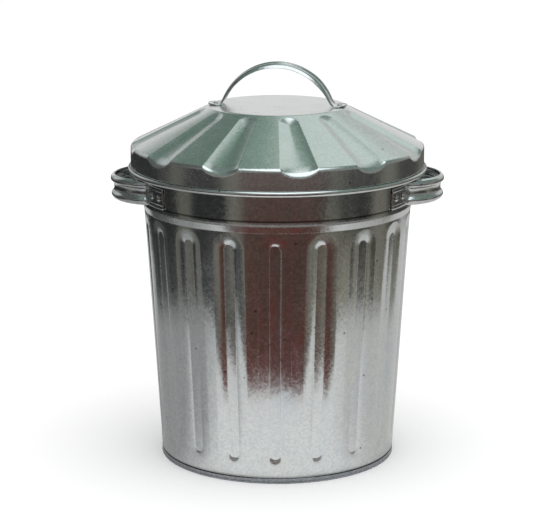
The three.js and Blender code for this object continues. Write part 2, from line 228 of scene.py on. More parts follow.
def spin(line, thickness, degrees, press=None):
    """A sheet turned about Z. press(line, angles) gives its radial and vertical moves."""
    outline, place = sheet_outline(line, thickness)
    moves = press and press(np.array(line, float), np.radians(degrees))
    return spin_outline(outline, degrees, moves, place)


def spin_outline(outline, degrees, moves=None, place=None):
    """A closed outline of (radius, height) turned about Z."""
    angle = np.radians(degrees)
    outline = np.array(outline, float)
    radius = np.repeat(outline[:, :1], len(angle), axis=1)
    height = np.repeat(outline[:, 1:2], len(angle), axis=1)
    if moves is not None:
        radius = radius + moves[0][place]
        height = height + moves[1][place]
    points = np.stack([radius * np.cos(angle), radius * np.sin(angle), height], axis=-1)
    return points.reshape(-1, 3), grid_faces(len(outline), len(angle))


def turned(points, degrees):
    """The points turned about Z."""
    c = math.cos(math.radians(degrees))
    s = math.sin(math.radians(degrees))
    return points @ np.array([[c, s, 0], [-s, c, 0], [0, 0, 1]])


def placed(points, matrix):
    rotation = np.array(matrix.to_3x3())
    return points @ rotation.T + np.array(matrix.translation)


def even(count):
    return np.arange(count) * 360 / count


def pitched(offsets, count, first):
    """Angles for a wall with repeated pressings, from the offsets on one side of a pressing's middle."""
    pitch = 360 / count
    half = [o for o in offsets if 0 < o < pitch / 2]
    one = [-o for o in reversed(half)] + [0] + half + [pitch / 2]
    return np.array([first + i * pitch + o for i in range(count) for o in one])


def off_middle(angle, first, count):
    """How far an angle is from the middle of the nearest of the repeated pressings, in radians."""
    pitch = 2 * math.pi / count
    return (angle - math.radians(first) + pitch / 2) % pitch - pitch / 2


def eased(value, low, high):
    """0 up to low and 1 from high on, with a smooth rise between them."""
    t = np.clip((value - low) / (high - low), 0, 1)
    return t * t * (3 - 2 * t)


def crown(value, middle, half):
    """A shallow arch with a crease at both ends."""
    return np.clip(1 - ((value - middle) / half) ** 2, 0, 1)


def piece(node, body, material, shape, sharp=50):
    """The finished mesh that stands for a CAD node."""
    points, faces = shape
    mesh = bpy.data.meshes.new(f"{node}_look")
    mesh.from_pydata((points * MM).tolist(), [], faces)
    edit = bmesh.new()
    edit.from_mesh(mesh)
    bmesh.ops.remove_doubles(edit, verts=edit.verts, dist=1e-7)
    bmesh.ops.dissolve_degenerate(edit, edges=edit.edges, dist=1e-8)
    bmesh.ops.recalc_face_normals(edit, faces=edit.faces)
    edit.to_mesh(mesh)
    edit.free()
    mesh.shade_smooth()
    mesh.set_sharp_from_angle(angle=math.radians(sharp))
    mesh.materials.append(material)
    made = bpy.data.objects.new(f"{node}_look", mesh)
    bpy.context.scene.collection.objects.link(made)
    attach(made, body)
    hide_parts(node)


# ---- Barrel and base ----

SEAM_EDGE = FOOT_FLOOR + GAP
BARREL_SEAM_RADIUS = FOOT_RADIUS - FOOT_WALL - GAP - SHEET / 2
PAN_SEAM_RADIUS = BARREL_SEAM_RADIUS - SHEET - GAP
FOOT_INNER_RADIUS = PAN_SEAM_RADIUS - SHEET / 2 - GAP - FOOT_WALL


def wall_radius(height):
    return BASE_RADIUS + TAPER * height - SHEET / 2


def collar_radius(height):
    return COLLAR_RADIUS + COLLAR_TAPER * (height - COLLAR_HEIGHT) - SHEET / 2


RIM_WIRE_RADIUS = collar_radius(RIM_WIRE_HEIGHT) + CURL_RADIUS


def body_radius(height):
    """The wall, the flared ridge, the shallow groove above it and the plain collar."""
    heights = [0, RIDGE_LOW, RIDGE_TOP, COLLAR_HEIGHT, RIM_WIRE_HEIGHT]
    radii = [wall_radius(0), wall_radius(RIDGE_LOW), wall_radius(RIDGE_TOP) + RIDGE_RISE]
    radii += [collar_radius(COLLAR_HEIGHT), collar_radius(RIM_WIRE_HEIGHT)]
    middle = (RIDGE_TOP + COLLAR_HEIGHT) / 2
    half = (COLLAR_HEIGHT - RIDGE_TOP) / 2
    return np.interp(height, heights, radii) - GROOVE_FALL * crown(height, middle, half)


def folded(value, soft):
    """0 below 0 and the value itself above it, with a soft fold between."""
    return 0.5 * (value + np.sqrt(value * value + soft * soft / 4))


def rib_depth(distance):
    """1 on a rib's floor, 0 outside the rib. The flank gets steeper towards the floor."""
    span = RIB_HALF_WIDTH - RIB_FLOOR_HALF_WIDTH
    soft = RIB_ROUNDING / span
    t = (RIB_HALF_WIDTH - distance) / span
    t = np.clip(folded(t, soft) - folded(t - 1, soft), 0, 1)
    return RIB_EDGE_SLOPE * t + (1 - RIB_EDGE_SLOPE) * t**RIB_STEEPENING


def wall_unevenness(height, angle):
    """The slow waves of thin sheet, which fade out at the base and the collar."""
    uneven = 0.1 * np.sin(5 * angle + height / 71) * np.sin(height / 53 + 1)
    uneven = uneven + 0.06 * np.sin(13 * angle - height / 47) * np.sin(height / 39)
    uneven = uneven + 0.05 * np.sin(9 * angle + 2) * np.sin(height / 61 + 0.6)
    return uneven * eased(height, 8, 30) * (1 - eased(height, 235, 300))


def body_moves(line, angle):
    """Ribs pressed in, the folded seam at the back, and the sheet's unevenness."""
    height = line[:, 1:2]
    across = off_middle(angle, RIB_FIRST, RIB_COUNT) * wall_radius(height)
    along = np.maximum(0, np.maximum(RIB_LOW_STRETCH * (RIB_LOW - height), height - RIB_HIGH))
    rib = rib_depth(np.hypot(across, along))
    seam = crown(off_middle(angle, SEAM_ANGLE, 1) * line[:, :1], 0, SEAM_HALF_WIDTH) ** 0.5
    seam_end = eased(height, SEAM_TOP - 8, SEAM_TOP)
    seam = seam * eased(height, FOOT_HEIGHT + 2, FOOT_HEIGHT + 5) * (1 - seam_end)
    moved = -RIB_DEPTH * rib + SEAM_RISE * seam + wall_unevenness(height, angle)
    return moved, np.zeros_like(moved)


def barrel_shape():
    """One sheet from the seam in the foot ring to the rolled rim, closely divided where it is pressed."""
    fold = np.array([-0.3, 0, 0.3])
    heights = np.concatenate([
        [6.8, 8, 10, 12],
        np.arange(13.1, 32, 0.6),
        np.arange(36, 233, 13),
        np.arange(234.5, RIDGE_LOW - 1, 0.6),
        RIDGE_LOW + np.array([-0.35, 0, 0.35]),
        np.linspace(RIDGE_LOW + 1.5, RIDGE_TOP - 1, 4),
        RIDGE_TOP + fold,
        np.linspace(RIDGE_TOP + 1.2, COLLAR_HEIGHT - 0.8, 4),
        COLLAR_HEIGHT + fold,
        [270, 276, 283, 291, 299, 304, 307],
    ])
    line = [(BARREL_SEAM_RADIUS, SEAM_EDGE), (BARREL_SEAM_RADIUS, 3.4), (BARREL_SEAM_RADIUS, 5.3)]
    line += list(zip(body_radius(heights), heights))
    line += arc(RIM_WIRE_RADIUS, RIM_WIRE_HEIGHT, CURL_RADIUS, 180, -130, 24)
    floor_edge = [0.8, 1.5, 2, 2.2, 2.35, 2.5, 2.65, 2.8, 3, 3.25, 3.6]
    outer_edge = [4.1, 4.7, 5.4, 6.1, 6.6, 6.9, 7.15, 7.4, 7.7, 8.2, 9]
    return spin(line, SHEET, pitched(floor_edge + outer_edge, RIB_COUNT, RIB_FIRST), body_moves)


def wire_shape(radius, height):
    return spin_outline(arc(radius, height, WIRE_RADIUS, 0, 337.5, 15), even(144))


def floor_pan_shape():
    radii = np.array([0, 30, 60, 80, 90, 94, 96, 98, 100, 104, 110])
    bead = PAN_BEAD_DEPTH * crown(radii, PAN_BEAD_RADIUS, PAN_BEAD_HALF_WIDTH)
    fall = bead + PAN_DOME * (radii / 110) ** 2
    line = list(zip(radii, FLOOR_HEIGHT - fall))
    line += arc(PAN_SEAM_RADIUS - FLOOR_CORNER, FLOOR_HEIGHT - FLOOR_CORNER, FLOOR_CORNER, 90, 0, 6)
    line += [(PAN_SEAM_RADIUS, 5), (PAN_SEAM_RADIUS, SEAM_EDGE)]
    return spin(line, SHEET, even(144))


def foot_ring_shape():
    """A channel, open upwards, that holds the seamed edges of the barrel and the floor pan."""
    outer = FOOT_RADIUS
    inner = FOOT_INNER_RADIUS
    lip = FOOT_WALL / 2
    outline = arc(outer - FOOT_CORNER, FOOT_CORNER, FOOT_CORNER, -90, 0, 4)
    outline += [(outer, 1.6), (outer - FOOT_BEAD, 2.4), (outer - FOOT_BEAD, 3.4), (outer, 4.2)]
    outline += arc(outer - lip, FOOT_HEIGHT - lip, lip, 0, 180, 6)
    outline += [(outer - FOOT_WALL, FOOT_FLOOR), (inner + FOOT_WALL, FOOT_FLOOR)]
    outline += arc(inner + lip, FOOT_HEIGHT - lip, lip, 0, 180, 6)
    outline += arc(inner + FOOT_CORNER, FOOT_CORNER, FOOT_CORNER, 180, 270, 4)
    return spin_outline(outline, even(216))


# ---- Lid ----

SKIRT_MID_RADIUS = SKIRT_RADIUS - SHEET / 2
LID_WIRE_RADIUS = SKIRT_MID_RADIUS + LID_WIRE_OUTSET
DISC_MID_HEIGHT = DISC_HEIGHT - SHEET / 2
CONE_SLOPE = (DISC_HEIGHT - SKIRT_TOP) / (SKIRT_RADIUS - DISC_RADIUS)


def cone_height(radius):
    return DISC_MID_HEIGHT - CONE_SLOPE * (radius - DISC_RADIUS)


def lid_unevenness(radius, angle):
    uneven = 0.12 * np.sin(7 * angle + radius / 17) * np.sin(radius / 23)
    return uneven * eased(radius, 15, 40) * (1 - eased(radius, 120, 140))


def lid_moves(line, angle):
    """Flutes pressed down, with a rounded upper end, and the sheet's unevenness."""
    radius = line[:, :1]
    height = line[:, 1:2]
    across = off_middle(angle, FLUTE_FIRST + LID_TURN, FLUTE_COUNT) / math.radians(FLUTE_EDGE)
    up = np.maximum(0, (FLUTE_FULL - radius) / (FLUTE_FULL - FLUTE_TIP))
    share = np.clip((radius - FLUTE_FULL) / (SKIRT_RADIUS - FLUTE_FULL), 0, 1)
    depth = 1 - np.minimum(1, np.hypot(across, up)) ** (FLUTE_BOTTOM + share)
    fall = np.clip((radius - FLUTE_FALL_START) / (SKIRT_RADIUS - FLUTE_FALL_START), 0, 1)
    drop = FLUTE_DROP_START + (FLUTE_DROP_END - FLUTE_DROP_START) * share + FLUTE_FALL * fall**2
    on_cone = height > SKIRT_PLAIN + 1e-6
    moved = np.where(on_cone, lid_unevenness(radius, angle) - drop * depth, 0)
    return np.zeros_like(moved), moved


def lid_shape():
    """One sheet from the middle of the disc to the rolled edge of the skirt."""
    slope = math.degrees(math.atan(CONE_SLOPE))
    corner_height = cone_height(SKIRT_MID_RADIUS) - SKIRT_CORNER * math.tan(math.radians((90 - slope) / 2))
    radii = np.concatenate([np.arange(69, 82, 0.6), np.arange(86, 135, 7), np.arange(136, 141.5, 0.8)])
    line = [(r, DISC_MID_HEIGHT) for r in (0, 15, 30, 45, 58, 64, DISC_RADIUS - 1)]
    line += [(DISC_RADIUS, DISC_MID_HEIGHT - 0.14)]
    line += [(r, cone_height(r)) for r in radii]
    line += arc(SKIRT_MID_RADIUS - SKIRT_CORNER, corner_height, SKIRT_CORNER, 90 - slope, 0, 12)
    line += [(SKIRT_MID_RADIUS, height) for height in (SKIRT_PLAIN, 304, 300)]
    line += arc(LID_WIRE_RADIUS, LID_WIRE_HEIGHT, CURL_RADIUS, 100, 410, 24)
    offsets = [0.7, 1.4, 2.2, 3, 3.8, 4.6, 5.4, 6.2, 6.8, 7.1, 7.4, 8, 9.2, 11, 13]
    return spin(line, SHEET, pitched(offsets, FLUTE_COUNT, FLUTE_FIRST + LID_TURN), lid_moves)


# ---- Handles ----


def both_sides(half):
    return [(-u, relief) for u, relief in reversed(half[1:])] + list(half)


STRAP_LINE = smooth_line(both_sides(STRAP_RELIEF), RELIEF_STEPS)
PLATE_LINE = smooth_line(both_sides(PLATE_RELIEF), RELIEF_STEPS)


def strap_shape(stations, across, lean):
    """A pressed strap through stations of (place, outward direction, form, half width, plate relief).

    form is 0 where the strap is a flat plate and 1 where it has its full relief.
    """
    across = np.array(across, float)
    clear = 100  # keeps the section off its axis, where sheet_outline would close it
    rings = []
    for at, out, form, half_width, lift in stations:
        u = STRAP_LINE[:, 0] * form + PLATE_LINE[:, 0] * (1 - form)
        relief = STRAP_LINE[:, 1] * form + PLATE_LINE[:, 1] * (1 - form) * lift
        line = np.stack([clear + relief + lean * u * half_width, u * half_width], axis=1)
        outline, _ = sheet_outline(line, STRAP)
        rings.append(np.array(at) + np.outer(outline[:, 0] - clear, out) + np.outer(outline[:, 1], across))
    n = len(rings[0])
    faces = grid_faces(len(rings), n, close_rows=False)
    for start in (0, (len(rings) - 1) * n):
        for i in range(n // 2 - 1):
            last = start + n - 1 - i
            faces.append((start + i, start + i + 1, last - 1, last))
    return np.concatenate(rings), faces


def polar(radius, degrees):
    return np.array([radius * math.cos(math.radians(degrees)), radius * math.sin(math.radians(degrees))])


def cross(a, b):
    return a[0] * b[1] - a[1] * b[0]


def bend(start, start_way, end, end_way):
    """Places, outward directions and shares of the way round the corner between two straight runs."""
    control = start + start_way * cross(end - start, end_way) / cross(start_way, end_way)
    for t in np.arange(1, BEND_STEPS) / BEND_STEPS:
        at = (1 - t) ** 2 * start + 2 * t * (1 - t) * control + t**2 * end
        way = (1 - t) * (control - start) + t * (end - control)
        way = way / np.linalg.norm(way)
        yield at, np.array([-way[1], way[0]]), t


def mirrored(half, flip):
    """A run and its mirror image, which share the last station of the run."""
    flip = np.array(flip)
    return half + [(at * flip, out * flip, form, width) for at, out, form, width in reversed(half[:-1])]


def side_handle_shape(side):
    """A riveted plate at each end, a quick bend off the collar and a round loop of pressed strap."""
    radius = collar_radius(SIDE_HANDLE_HEIGHT) + SHEET / 2 + GAP + STRAP / 2
    rounding = math.degrees(PLATE_ROUNDING / radius)
    rounded_end = PLATE_END - rounding * np.array([0, 0.1, 0.3, 0.6, 1])
    half = []
    for degrees in np.concatenate([rounded_end, np.linspace(PLATE_PLAIN, PLATE_START, 12)]):
        to_edge = max(0, 1 - (PLATE_END - degrees) / rounding)
        hem = PLATE_HEM * (1 - eased(PLATE_END - degrees, *PLATE_HEM_WIDTH)) * (1 - to_edge**4)
        cut = PLATE_ROUNDING * (1 - math.sqrt(1 - to_edge**2))
        half.append((polar(radius + hem, degrees), polar(1, degrees), 0.0, PLATE_HALF_HEIGHT - cut))
    last = half[-1][0]
    centre = np.array([LOOP_CENTRE, 0])
    first = polar(LOOP_RADIUS, LOOP_END) + centre
    for at, out, t in bend(last, polar(1, PLATE_START - 90), first, polar(1, LOOP_END - 90)):
        form = eased(t, 0.1, 1)
        half.append((at, out, form, PLATE_HALF_HEIGHT + (LOOP_HALF_HEIGHT - PLATE_HALF_HEIGHT) * form))
    for degrees in np.linspace(LOOP_END, 0, 30):
        half.append((polar(LOOP_RADIUS, degrees) + centre, polar(1, degrees), 1.0, LOOP_HALF_HEIGHT))
    sign = 1 if side == "right" else -1
    stations = []
    for at, out, form, half_width in mirrored(half, [1, -1]):
        place = (sign * at[0], sign * at[1], SIDE_HANDLE_HEIGHT)
        stations.append((place, (sign * out[0], sign * out[1], 0), form, half_width, 1))
    return strap_shape(stations, (0, 0, 1), COLLAR_TAPER)


def lid_handle_shape():
    """A round-ended foot on each side of the disc and an arch of pressed strap between them."""
    foot = DISC_HEIGHT + GAP + STRAP / 2
    crest = max(relief for _, relief in STRAP_RELIEF)
    centre = np.array([0, ARCH_TOP - crest - STRAP / 2 - ARCH_RADIUS])
    half = []
    for x in np.linspace(TAB_END, TAB_START, 14):
        to_tip = max(0, (x - TAB_END + TAB_ROUNDING) / TAB_ROUNDING)
        width = ARCH_HALF_WIDTH - TAB_ROUNDING * (1 - math.sqrt(max(0, 1 - to_tip**2)))
        half.append((np.array([x, foot + TAB_LIFT * to_tip]), np.array([0, 1]), 0.0, width))
    first = polar(ARCH_RADIUS, ARCH_END) + centre
    for at, out, t in bend(half[-1][0], np.array([-1, 0]), first, polar(1, ARCH_END + 90)):
        half.append((at, -out, ARCH_BEND_FORM * t, ARCH_HALF_WIDTH))
    for degrees in np.linspace(ARCH_END, 90, 32):
        share = (degrees - ARCH_END) / (ARCH_FORMED - ARCH_END)
        form = min(1, ARCH_BEND_FORM + (1 - ARCH_BEND_FORM) * share)
        half.append((polar(ARCH_RADIUS, degrees) + centre, polar(1, degrees), form, ARCH_HALF_WIDTH))
    stations = []
    for at, out, form, width in mirrored(half, [-1, 1]):
        stations.append(((at[0], 0, at[1]), (out[0], 0, out[1]), form, width, TAB_RELIEF))
    points, faces = strap_shape(stations, (0, 1, 0), 0)
    return turned(points, LID_TURN), faces


# ---- Rivets ----


def rivet_shape(head, matrix):
    """A domed rivet: the sheet and the strap lie between its head and its tail."""
    radius, rise = head
    tail_radius, tail_rise = RIVET_TAIL
    low = -GAP
    high = SHEET + GAP + STRAP + GAP
    brim = 0.18 * rise
    outline = []
    for t in np.linspace(0, TAIL_SWEEP, 6):
        outline.append((tail_radius * math.sin(t), low - tail_rise * math.cos(t)))
    outline += [(tail_radius, low), (RIVET_SHANK, low), (RIVET_SHANK, high), (0.97 * radius, high)]
    outline += [(radius, high + 0.5 * brim), (0.95 * radius, high + brim)]
    for t in np.linspace(0, math.pi / 2, 9):
        outline.append((0.88 * radius * math.cos(t), high + brim + (rise - brim) * math.sin(t)))
    points, faces = spin_outline(outline, even(28))
    return placed(points, matrix), faces


def on_collar(degrees):
    """The frame of a rivet on the collar: its +Z points out through the sheet and the strap."""
    inside = collar_radius(SIDE_HANDLE_HEIGHT) - SHEET / 2
    x, y = polar(inside, degrees)
    tilt = math.pi / 2 + math.atan(COLLAR_TAPER)
    turn = Matrix.Rotation(math.radians(degrees), 4, "Z") @ Matrix.Rotation(tilt, 4, "Y")
    return Matrix.Translation((x, y, SIDE_HANDLE_HEIGHT)) @ turn


def side_rivets():
    """The name and frame of each of the eight rivets in the carrying handles' plates."""
    for side in ("right", "left"):
        for end, sign in (("front", -1), ("rear", 1)):
            for i, degrees in enumerate(PLATE_RIVETS):
                angle = sign * degrees if side == "right" else 180 - sign * degrees
                yield f"side_handle_{side}_{end}_rivet_{i + 1}", on_collar(angle)


def lid_rivets():
    """The name and frame of the rivet in each foot of the lid handle."""
    turn = Matrix.Rotation(math.radians(LID_TURN), 4, "Z")
    for side, x in (("right", TAB_RIVET), ("left", -TAB_RIVET)):
        yield f"lid_handle_{side}_rivet", turn @ Matrix.Translation((x, 0, DISC_HEIGHT - SHEET))


# ---- Materials ----


class Nodes:
    """A node tree, with a short call for each kind of node. place is where a pattern is looked up."""

    def __init__(self, tree, coordinates):
        self.tree = tree
        self.place = self.node("TexCoord", {}).outputs[coordinates]

    def put(self, socket, value):
        if isinstance(value, bpy.types.NodeSocket):
            self.tree.links.new(value, socket)
        else:
            socket.default_value = value

    def node(self, kind, inputs, **settings):
        made = self.tree.nodes.new(f"ShaderNode{kind}")
        for name, value in settings.items():
            setattr(made, name, value)
        for name, value in inputs.items():
            self.put(made.inputs[name], value)
        return made

    def stretched(self, x, y, z):
        return self.node("Mapping", {"Vector": self.place, "Scale": (x, y, z)}).outputs["Vector"]

    def noise(self, scale, detail, vector=None):
        inputs = {"Vector": vector or self.place, "Scale": scale, "Detail": detail}
        return self.node("TexNoise", inputs).outputs["Fac"]

    def crystals(self, scale, vector=None):
        return self.node("TexVoronoi", {"Vector": vector or self.place, "Scale": scale})

    def ramp(self, value, low, high, to_low=0.0, to_high=1.0):
        inputs = {"Value": value, "From Min": low, "From Max": high, "To Min": to_low, "To Max": to_high}
        return self.node("MapRange", inputs, interpolation_type="SMOOTHSTEP").outputs["Result"]

    def math(self, operation, a, b=0.0):
        return self.node("Math", {0: a, 1: b}, operation=operation).outputs["Value"]

    def root(self, a):
        return self.math("SQRT", a)

    def hypotenuse(self, a, b):
        return self.root(self.math("ADD", self.math("MULTIPLY", a, a), self.math("MULTIPLY", b, b)))

    def vector(self, operation, a, b=(0, 0, 0)):
        return self.node("VectorMath", {0: a, 1: b}, operation=operation).outputs["Vector"]

    def scaled(self, vector, size):
        return self.vector("MULTIPLY", vector, (size, size, size))

    def mix(self, factor, a, b):
        """A mix of two colours, whose sockets a Mix node numbers 6 and 7."""
        return self.node("Mix", {0: factor, 6: a, 7: b}, data_type="RGBA").outputs[2]

    def axis(self, name, vector=None):
        return self.node("SeparateXYZ", {"Vector": vector or self.place}).outputs[name]

    def bump(self, height, strength, distance, normal):
        inputs = {"Height": height, "Strength": strength, "Distance": distance, "Normal": normal}
        return self.node("Bump", inputs).outputs["Normal"]


class Material(Nodes):
    """The node tree of a new material."""

    def __init__(self, name):
        self.material = bpy.data.materials.new(name)
        self.material.use_nodes = True
        super().__init__(self.material.node_tree, "Object")
        self.surface = self.tree.nodes["Principled BSDF"]


def grey(value, tint=(1, 1, 1)):
    return tuple(value * t for t in tint) + (1,)


def crystal_pattern(s, size):
    """A random colour on each zinc crystal, in two sizes, with wandering outlines."""
    wander = s.node("TexNoise", {"Vector": s.place, "Scale": 300, "Detail": 2}).outputs["Color"]
    place = s.vector("ADD", s.place, s.scaled(wander, 1.5 * MM))
    fine = s.crystals(1 / size, place).outputs["Color"]
    coarse = s.crystals(0.22 / size, place).outputs["Color"]
    return s.mix(0.22, fine, coarse)


def leaning_normal(s, pattern, tilt):
    """The surface's own normal, tipped a little at random on each crystal."""
    lean = s.scaled(s.vector("SUBTRACT", pattern, (0.5, 0.5, 0.5)), tilt)
    facing = s.node("NewGeometry", {}).outputs["Normal"]
    return s.vector("NORMALIZE", s.vector("ADD", facing, lean))


def stained(s, colour, strength):
    """Blue-grey streaks that run up and down the sheet, and a few small dark specks."""
    streaks = s.ramp(s.noise(26, 4, s.stretched(1, 1, 0.16)), 0.54, 0.72, 0, strength)
    colour = s.mix(streaks, colour, grey(0.62, (0.87, 0.98, 1.12)))
    spots = s.ramp(s.crystals(60).outputs["Distance"], 0.05, 0.09, 0.7, 0)
    chosen = s.ramp(s.noise(38, 1), 0.5, 0.56)
    return s.mix(s.math("MULTIPLY", spots, chosen), colour, grey(0.1, (1, 0.95, 0.85)))


def spangled(name, light, dark, rough, tilt, size=0.002, stain=0.3, darkening_and_shade=None, crease_highlights=None):
    """Zinc-coated steel, with crystals of a size in metres, stains, specks, scratches and dull patches.

    darkening_and_shade(s, patches) and crease_highlights(s) give masks for what only some pieces have. The
    first is a darker band above the foot with a line of painted shade under the collar. The second is crease
    lines painted lighter as highlights.
    """
    s = Material(name)
    pattern = crystal_pattern(s, size)
    tone = s.axis("X", pattern)
    colour = stained(s, s.mix(s.ramp(tone, 0.15, 0.85), dark, light), stain)
    patches = s.noise(34, 5)
    duller = s.ramp(patches, 0.45, 0.75, 0, 0.05)
    roughness = s.math("ADD", s.ramp(tone, 0, 1, rough - 0.03, rough + 0.03), duller)
    if darkening_and_shade:
        # Darkens the colour in a band above the foot ring and paints shade in a thin line under the collar.
        colour = s.mix(darkening_and_shade(s, patches), colour, grey(0.14, (1, 0.92, 0.82)))
    if crease_highlights:
        crease_highlight_mask = crease_highlights(s)
        roughness = s.math("ADD", roughness, s.math("MULTIPLY", crease_highlight_mask, 0.14))
        # Painted highlight: the crease lines are made lighter in colour.
        colour = s.mix(s.math("MULTIPLY", crease_highlight_mask, 0.35), colour, grey(0.88))
    scratches = s.noise(900, 2, s.stretched(1, 1, 0.05))
    normal = leaning_normal(s, pattern, tilt)
    normal = s.bump(patches, 0.04, 0.4 * MM, normal)
    normal = s.bump(scratches, 0.04, 0.1 * MM, normal)
    s.put(s.surface.inputs["Base Color"], colour)
    s.put(s.surface.inputs["Roughness"], roughness)
    s.put(s.surface.inputs["Normal"], normal)
    s.surface.inputs["Metallic"].default_value = 1
    return s.material


def line_at(s, distance, middle, half):
    """1 in a thin line at that distance, and 0 away from it."""
    off = s.math("ABSOLUTE", s.math("SUBTRACT", distance, middle))
    return s.ramp(off, 0.2 * half, half, 1, 0)


def barrel_darkening_and_shade(s, patches):
    """Where the wall is darker: a band with a ragged edge above the foot ring, and a thin line of painted
    shade in the hollow under the collar.
    """
    height = s.axis("Z")
    ragged = s.math("ADD", height, s.math("MULTIPLY", patches, FOOT_DARKENING_RAGGED * MM))
    # The wall is darker up to a ragged edge above the foot ring.
    above_foot = s.ramp(ragged, FOOT_DARKENING * MM, (FOOT_DARKENING + FOOT_DARKENING_RAGGED) * MM, 0.55, 0)
    # Painted shade: a thin dark line in the hollow just under the collar.
    collar_shade_line = line_at(s, height, (COLLAR_HEIGHT - COLLAR_SHADE_LINE_DROP) * MM, 1.5 * MM)
    return s.math("MAXIMUM", above_foot, s.math("MULTIPLY", collar_shade_line, 0.85))


def rib_crease_highlights(s):
    """Thin lines round each rib, its floor and the ridge, painted lighter as a highlight and made a little
    rougher.
    """
    x = s.axis("X")
    y = s.axis("Y")
    z = s.axis("Z")
    turn = s.math("SUBTRACT", s.math("ARCTAN2", y, x), math.radians(RIB_FIRST))
    pitch = math.pi / RIB_COUNT
    off = s.node("Math", {0: turn, 1: pitch, 2: -pitch}, operation="WRAP").outputs["Value"]
    across = s.math("MULTIPLY", off, s.hypotenuse(x, y))
    past = s.math("MAXIMUM", s.math("SUBTRACT", RIB_LOW * MM, z), s.math("SUBTRACT", z, RIB_HIGH * MM))
    distance = s.hypotenuse(across, s.math("MAXIMUM", past, 0))
    outside = s.math("MULTIPLY", line_at(s, distance, RIB_HALF_WIDTH * MM, 0.4 * MM), 0.5)
    inside = line_at(s, distance, RIB_FLOOR_HALF_WIDTH * MM, 0.5 * MM)
    lines = s.math("MAXIMUM", outside, inside)
    for height in (RIDGE_LOW, RIDGE_TOP):
        lines = s.math("MAXIMUM", lines, line_at(s, z, height * MM, 0.6 * MM))
    return lines


def barrel_metal():
    light = grey(0.73, (0.98, 1, 0.99))
    dark = grey(0.64, (0.97, 1, 1))
    # The barrel's colour holds painted shade under the collar and painted highlights on its crease lines.
    return spangled("barrel_zinc", light, dark, 0.15, 0.022, darkening_and_shade=barrel_darkening_and_shade, crease_highlights=rib_crease_highlights)


def lid_metal():
    light = grey(0.76, (0.97, 1, 0.99))
    dark = grey(0.68, (0.96, 1, 0.98))
    return spangled("lid_zinc", light, dark, 0.23, 0.006, size=0.0014, stain=0.1)


def floor_pan_metal():
    light = grey(0.68, (0.98, 1, 1))
    dark = grey(0.52, (0.97, 1, 1))
    return spangled("floor_pan_zinc", light, dark, 0.3, 0.05)


def foot_ring_metal():
    light = grey(0.4, (0.92, 0.98, 1.05))
    dark = grey(0.3, (0.95, 0.98, 1.03))
    return spangled("foot_ring_zinc", light, dark, 0.25, 0.012)


def strap_metal():
    light = grey(0.74, (0.98, 1, 1))
    dark = grey(0.62, (0.97, 0.99, 1))
    return spangled("strap_zinc", light, dark, 0.18, 0.02, size=0.0015, stain=0.15)


def rivet_metal():
    light = grey(0.7, (1, 1, 0.98))
    dark = grey(0.56, (1, 0.99, 0.96))
    return spangled("rivet_zinc", light, dark, 0.22, 0.03, size=0.001)


def wire_metal():
    light = grey(0.5, (1, 0.98, 0.95))
    dark = grey(0.34, (1, 0.95, 0.9))
    return spangled("wire_steel", light, dark, 0.42, 0.03)


# ---- Studio, in metres ----


def flat_disc(name, radius, height):
    turn = np.linspace(0, 2 * math.pi, DISC_SIDES, endpoint=False)
    points = [(radius * math.cos(t), radius * math.sin(t), height) for t in turn]
    mesh = bpy.data.meshes.new(name)
    mesh.from_pydata(points, [], [tuple(range(DISC_SIDES))])
    made = bpy.data.objects.new(name, mesh)
    bpy.context.scene.collection.objects.link(made)
    return made


def pale_floor():
    floor = flat_disc("floor", 12, 0)
    s = Material("pale_floor")
    s.surface.inputs["Base Color"].default_value = grey(0.9)
    s.surface.inputs["Roughness"].default_value = 1
    s.surface.inputs["Specular IOR Level"].default_value = 0
    floor.data.materials.append(s.material)


def patch(s, value, middle, half):
    """A soft-edged band round a value: 1 in its middle and 0 outside."""
    off = s.math("ABSOLUTE", s.math("SUBTRACT", value, middle))
    return s.ramp(off, 0.4 * half, half, 1, 0)


def banded(s, colour, turn, beyond, bands, band_colour):
    """The colour with bands of (middle, half width, strength) in it, which start where beyond rises."""
    for middle, half, strength in bands:
        there = s.ramp(*beyond, 0, strength)
        colour = s.mix(s.math("MULTIPLY", patch(s, turn, middle, half), there), colour, band_colour)
    return colour


# Upright things in the unlit room: the angle from the front, half the width, and the strength.
PALE_BANDS = ((-0.6, 0.15, 0.8), (0.78, 0.13, 0.5), (-1.42, 0.2, 0.6), (1.62, 0.22, 0.8), (2.6, 0.3, 0.5))
DARK_BANDS = ((-1.12, 0.14, 0.8), (1.27, 0.16, 0.75), (-1.78, 0.18, 0.7))


def paper_colour(s, reach, turn):
    """White paper under the bin: palest in front, greyer at the sides and behind, shaded beside the foot."""
    away = s.math("ABSOLUTE", turn)
    sides = s.mix(s.ramp(turn, -1.1, 1.1), grey(0.36, (0.98, 1, 1)), grey(0.6, (1, 1, 0.98)))
    paper = s.mix(s.ramp(away, 0.45, 1.35), grey(0.86, (0.98, 1, 1)), sides)
    paper = s.mix(s.ramp(away, 2.2, 2.6), paper, grey(0.6))
    return s.mix(s.ramp(reach, 0.118, 0.15, 0.4, 0), paper, grey(0.3))


